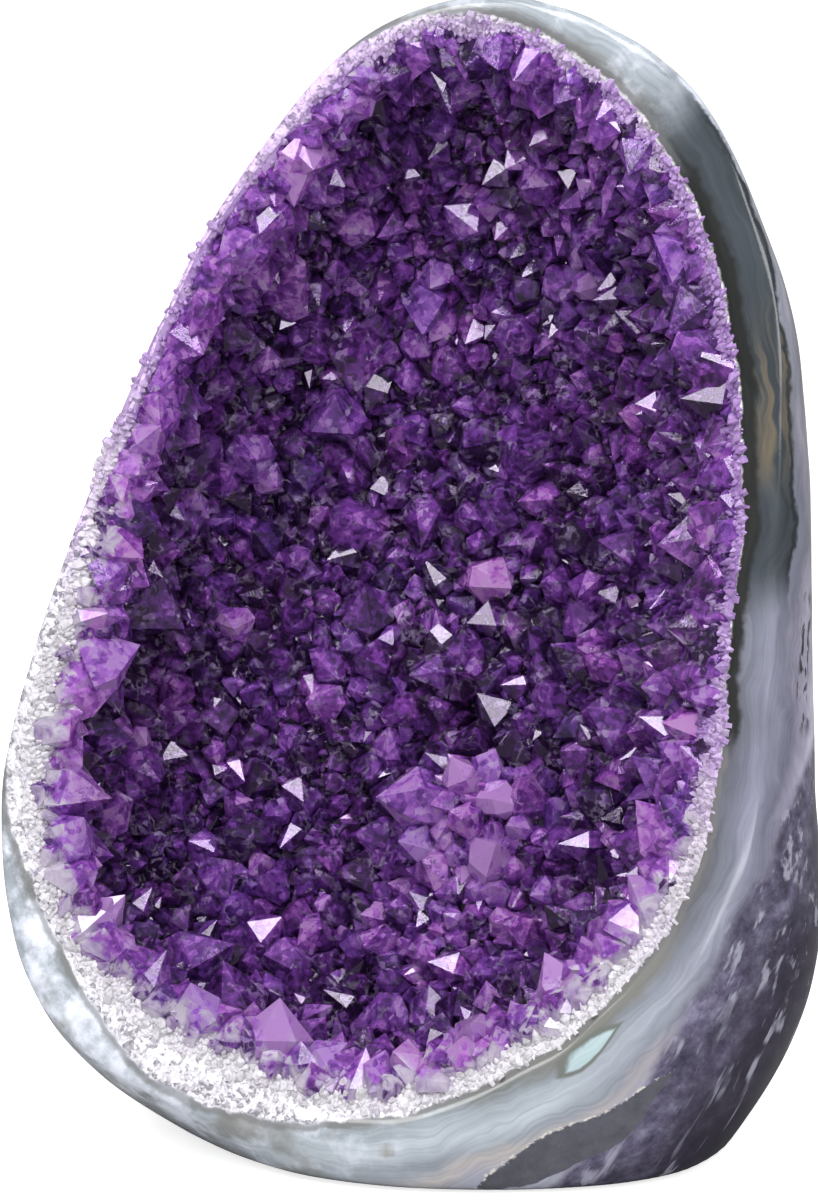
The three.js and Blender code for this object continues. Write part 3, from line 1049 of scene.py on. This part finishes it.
# %% Stone finish
def stone_finish():
    """All the layers, with the grainy quartz fringe and the grey line behind it laid on last."""
    material, tree, shader, _ = start_material("banded_agate")
    at = stone_places(tree)
    colour = black_seam(at, olive_and_eye(at, teal_corner(at, agate_bands(at))))
    over = minus(at.depth, at.kept("basalt_edge"))
    basalt_here, scratches = soft_step(over, -0.3, 1.6), steep_scratches(tree, at)
    colour = mixed(basalt_here, colour, basalt_rock(at, over, scratches))
    colour = dashes_and_rust(at, dark_island(at, colour))

    gap = minus(at.frayed, at.kept("quartz_edge"))
    grey_line = soft_step(maths("ABSOLUTE", minus(gap, 0.5)), 0.8, 0.15)
    lit_side = minus(at.kept("near_face"), at.kept("dark_side"), clamp=True)
    colour = mixed(times(times(grey_line, lit_side), 0.7), colour, 0.15)
    fringe = times(soft_step(gap, 0.25, -0.25), at.kept("near_face"))
    grain = add(tree, "Group", {"Scale": 1100.0, "Contrast": 1.3}, node_tree=quartz_grain).outputs
    white = ramp(grain["Speckle"], [
        (0.1, (0.20, 0.19, 0.22)), (0.45, (0.50, 0.48, 0.53)), (0.9, (0.80, 0.78, 0.84))])
    white = mixed(at.kept("lilac_side"), white, (0.85, 0.66, 0.96), "MULTIPLY")
    height = mixed(fringe, mixed(basalt_here, 0.5, scratches), grain["Height"])
    bump = {"Strength": 0.35, "Distance": 0.0002, "Height": height}
    fill(shader, {
        "Base Color": mixed(fringe, colour, white),
        "Roughness": mixed(fringe, mixed(basalt_here, 0.16, 0.27), 0.5),
        "IOR": 1.54,
        "Specular IOR Level": 0.32,
        "Normal": add(tree, "Bump", bump).outputs["Normal"],
    })
    return material


stone.data.materials.append(stone_finish())
print("stone finish:", len(stone.data.materials[0].node_tree.nodes), "nodes")

# %% [markdown]
# ## Milky quartz
#
# White by the stone, where it is full of tiny flaws, and tinted further in, where it turns into
# amethyst. The grain breaks it up below the size of the modelled sugar crystals. It stays opaque,
# because the flaws scatter what light gets in.

# %% Quartz finish
def quartz_finish():
    material, tree, shader, _ = start_material("milky_quartz")
    grain = add(tree, "Group", {"Scale": 1500.0, "Contrast": 1.2}, node_tree=quartz_grain).outputs
    marks = add(tree, "Group", {"Veil Scale": 220.0, "Step Scale": 2200.0}, node_tree=growth_marks_and_glints).outputs
    whiteness = plus(value_of(tree, "whiteness"), swing(marks["Veil"], 0.7), clamp=True)
    colour = ramp(whiteness, [
        (0.0, (0.018, 0.006, 0.035)), (0.25, (0.10, 0.03, 0.18)), (0.5, (0.33, 0.20, 0.45)),
        (0.75, (0.50, 0.43, 0.55)), (1.0, (0.57, 0.55, 0.59))])
    tone = ramp(value_of(tree, "tone"), [(0.0, 0.66), (0.3, 0.9), (0.7, 1.0), (1.0, 1.1)])
    colour = mixed(0.8, colour, tone, "MULTIPLY")
    colour = mixed(0.7, colour, ramp(grain["Speckle"], [(0.1, 0.68), (0.5, 1.0), (0.9, 1.1)]), "MULTIPLY")
    smudged = times(soft_step(marks["Cracks"], 0.1, 0.9), 0.35)
    bump = {"Strength": 0.5, "Distance": 0.00025, "Height": grain["Height"]}
    fill(shader, {
        "Base Color": mixed(smudged, colour, (0.34, 0.31, 0.38)),
        "Roughness": ramp(grain["Speckle"], [(0.2, 0.24), (0.8, 0.55)]),
        "IOR": 1.544,
        "Specular IOR Level": 0.35,
        "Normal": add(tree, "Bump", bump).outputs["Normal"],
    })
    return material


bed.data.materials.append(quartz_finish())
print("quartz finish:", len(bed.data.materials[0].node_tree.nodes), "nodes")

# %% [markdown]
# ## Amethyst
#
# Amethyst is clear quartz that iron has coloured, so it is glass to the renderer: it bends light by
# its own index and takes out everything but violet on the way through. Real crystals are never
# perfectly clear, and a share of milkiness keeps them from vanishing against the dark bed. Each has
# its own depth of colour, veils cloud it, and the roots fade to white beside the stone. Shade in the
# gaps between the crystals, paler tips and a few bright glints are painted into the colour.

# %% Amethyst colour
def amethyst_colour(tree, marks, height):
    """Violet to plum, each crystal and face its own, white at the roots, with shade painted into the gaps,
    paler painted tips and painted glints.
    """
    veil, patch = swing(marks["Veil"], 1.5), minus(marks["Patches"], 0.5)
    own = minus(value_of(tree, "facet"), 0.5)
    # Painted light and shade: points low by the bed lose paleness and tips gain it, standing in for shade in
    # the gaps and light on the tips.
    painted_tip_lift = ramp(height, [(0.0, 0.0), (0.25, 0.32), (0.8, 0.5)])
    paleness = plus(value_of(tree, "paleness"), minus(painted_tip_lift, 0.3))
    paleness = plus(plus(paleness, times(own, 0.40)), times(patch, 0.40))
    paleness = plus(paleness, veil, clamp=True)
    violet = ramp(paleness, [
        (0.0, (0.026, 0.011, 0.054)), (0.3, (0.10, 0.034, 0.23)), (0.6, (0.28, 0.09, 0.58)),
        (0.85, (0.52, 0.20, 0.88)), (1.0, (0.66, 0.37, 0.94))])
    plum = ramp(paleness, [
        (0.0, (0.032, 0.009, 0.048)), (0.3, (0.125, 0.030, 0.21)), (0.6, (0.36, 0.08, 0.54)),
        (0.85, (0.72, 0.23, 0.88)), (1.0, (0.84, 0.40, 0.94))])
    purple = mixed(value_of(tree, "hue"), violet, plum)
    # Painted shade: the colour darkens toward the bed, where shade falls in the gaps between the crystals.
    purple = mixed(1.0, purple, ramp(height, [(0.0, 0.30), (0.1, 0.55), (0.25, 1.0)]), "MULTIPLY")
    rooted = value_of(tree, "whiteness")
    for part, share in ((own, 0.35), (patch, 0.12), (veil, 0.8)):
        rooted = plus(rooted, times(part, share))
    root_tone = ramp(marks["Veil"], [
        (0.36, (0.36, 0.22, 0.52)), (0.5, (0.68, 0.58, 0.78)), (0.62, (0.92, 0.86, 0.96))])
    colour = mixed(soft_step(rooted, 0.70, 0.88), purple, root_tone)
    # Painted glints: pale violet specks on the raised crystals.
    painted_glint = times(times(marks["Painted Glints"], soft_step(height, 0.1, 0.3)), 0.5)
    colour = mixed(painted_glint, colour, (0.80, 0.62, 1.0))
    colour = mixed(times(marks["Cracks"], 0.45), colour, (0.70, 0.58, 0.85))
    return mixed(value_of(tree, "stain"), colour, (0.13, 0.03, 0.02))

# %% Amethyst finish
def amethyst_finish():
    material, tree, shader, output = start_material("amethyst")
    scales = {"Veil Scale": 380.0, "Step Scale": 1500.0, "Crack Scale": 380.0}
    marks = add(tree, "Group", scales, node_tree=growth_marks_and_glints).outputs
    height = maths("DIVIDE", value_of(tree, "height"), 6.0, clamp=True)
    up = soft_step(height, 0.06, 0.16)
    bump = {"Strength": 0.15, "Distance": 0.00012, "Height": marks["Steps"]}
    fill(shader, {
        "Base Color": amethyst_colour(tree, marks, height),
        "Roughness": mixed(up, 0.36, ramp(marks["Steps"], [(0.35, 0.03), (0.65, 0.12)])),
        "Coat Weight": times(up, times(value_of(tree, "facet"), 0.6)),
        "Coat Roughness": 0.05,
        "Transmission Weight": 0.65,
        "IOR": 1.544,
        "Specular IOR Level": 0.32,
        "Specular Tint": (0.88, 0.76, 1.0, 1),
        "Normal": add(tree, "Bump", bump).outputs["Normal"],
    })
    depth = add(tree, "VolumeAbsorption", {"Color": (0.45, 0.15, 0.72, 1), "Density": 220.0})
    fill(output, {"Volume": depth.outputs["Volume"]})
    return material


amethyst = amethyst_finish()
for piece in (wall_points, lip_points):
    piece.data.materials.append(amethyst)
print("amethyst finish:", len(amethyst.node_tree.nodes), "nodes")

# %% [markdown]
# ## Each piece takes its place
#
# The four pieces stand for the two CAD solids. Each rides on the body, says which solid it takes the
# place of, and that solid is hidden.

# %% Handing over to the frame
TAKES_PLACE = [
    (stone, "stone_shell", "banded_stone"),
    (bed, "crystal_lining", "milky_quartz"),
    (wall_points, "crystal_lining", "amethyst_crystal"),
    (lip_points, "crystal_lining", "amethyst_crystal"),
]
for piece, node, slot in TAKES_PLACE:
    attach(piece, "root")
    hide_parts(node)
    print(piece.name, "stands for", node)

# %% [markdown]
# ## The camera
#
# A long lens keeps the stone's sides nearly parallel, as in a shop picture. It stands a little to the
# right of the geode's front and looks slightly down.

# %% Camera
VIEW_TURN, VIEW_RISE = math.radians(15), math.radians(12)
VIEW_AWAY = 0.8
LOOK_AT = Vector((0, 0, 0.075))
LOOK_LEFT, LOOK_HIGHER = 0.004, 0.0017


def way_to(turn, rise):
    """From the geode toward a place turned round it and raised."""
    return Vector((math.sin(turn) * math.cos(rise), -math.cos(turn) * math.cos(rise), math.sin(rise)))


def facing(place, target):
    """The turn that makes a camera or a lamp look from a place at a target."""
    return (Vector(place) - Vector(target)).to_track_quat("Z", "Y")


def put(name, data, place, target):
    """A camera or a lamp at a place, looking at a target."""
    made = in_scene(name, data)
    made.location = place
    made.rotation_mode = "QUATERNION"
    made.rotation_quaternion = facing(place, target)
    return made


toward_camera = way_to(VIEW_TURN, VIEW_RISE)
to_right = Vector((math.cos(VIEW_TURN), math.sin(VIEW_TURN), 0))
target = LOOK_AT - to_right * LOOK_LEFT + toward_camera.cross(to_right) * LOOK_HIGHER
lens = bpy.data.cameras.new("camera")
lens.sensor_fit, lens.sensor_height, lens.lens = "VERTICAL", 36, 168
camera = put("camera", lens, target + toward_camera * VIEW_AWAY, target)
bpy.context.scene.camera = camera
print("camera at", [round(value, 3) for value in camera.location])

# %% [markdown]
# ## Light
#
# Crystals are only as bright as what they mirror, so the lamps are small and strong and the rest of
# the room is dim: then most faces stay deep purple and a few flash white. The room is dim for the
# stone only. To the camera it is plain white.

# %% Studio
STUDIO = {
    "upper_left": (-35, 45, 1.0, 0.42, 0.42, 11),
    "right": (60, 35, 1.0, 0.30, 0.40, 10),
    "top": (10, 75, 1.0, 0.40, 0.40, 13),
    "low_front": (28, 8, 1.2, 0.45, 0.22, 9),
}

for name, (turn, rise, away, wide, high, radiance) in STUDIO.items():
    lamp = bpy.data.lights.new(name, "AREA")
    lamp.shape, lamp.size, lamp.size_y = "RECTANGLE", wide, high
    lamp.energy = radiance * math.pi * wide * high
    middle = Vector((0, 0, 0.08))
    put(name, lamp, middle + way_to(math.radians(turn), math.radians(rise)) * away, middle)

world = bpy.data.worlds.new("studio")
world.use_nodes = True
seen = add(world.node_tree, "LightPath").outputs["Is Camera Ray"]
strength = add(world.node_tree, "Mix", {"Factor": seen, 2: 0.4, 3: 1.0}).outputs[0]
fill(world.node_tree.nodes["Background"], {"Color": (1, 1, 1, 1), "Strength": strength})
scene = bpy.context.scene
scene.world = world
scene.view_settings.view_transform = "Standard"
cycles = scene.cycles
cycles.max_bounces, cycles.transmission_bounces, cycles.glossy_bounces, cycles.diffuse_bounces = 8, 6, 3, 3
print("lamps:", ", ".join(STUDIO))

# %% [markdown]
# ## The table
#
# A plain pale floor. It is bright to the camera and to the soft light that it throws up under the
# stone, but dim in the crystals' mirrors, or they would turn grey.

# %% Floor
corners = np.array([[-2, -2, 0], [2, -2, 0], [2, 2, 0], [-2, 2, 0]], float)
floor = mesh_piece("floor", corners, [[0, 1, 2, 3]], smooth=False)
material, tree, shader, _ = start_material("floor")
path = add(tree, "LightPath")
seen = path.outputs["Is Camera Ray"]
soft = plus(seen, path.outputs["Is Diffuse Ray"], clamp=True)
fill(shader, {
    "Base Color": mixed(soft, 0.25, 0.65),
    "Emission Strength": times(seen, 0.75),
    "Emission Color": (1, 1, 1, 1),
    "Roughness": 0.9,
    "Specular IOR Level": 0,
})
floor.data.materials.append(material)
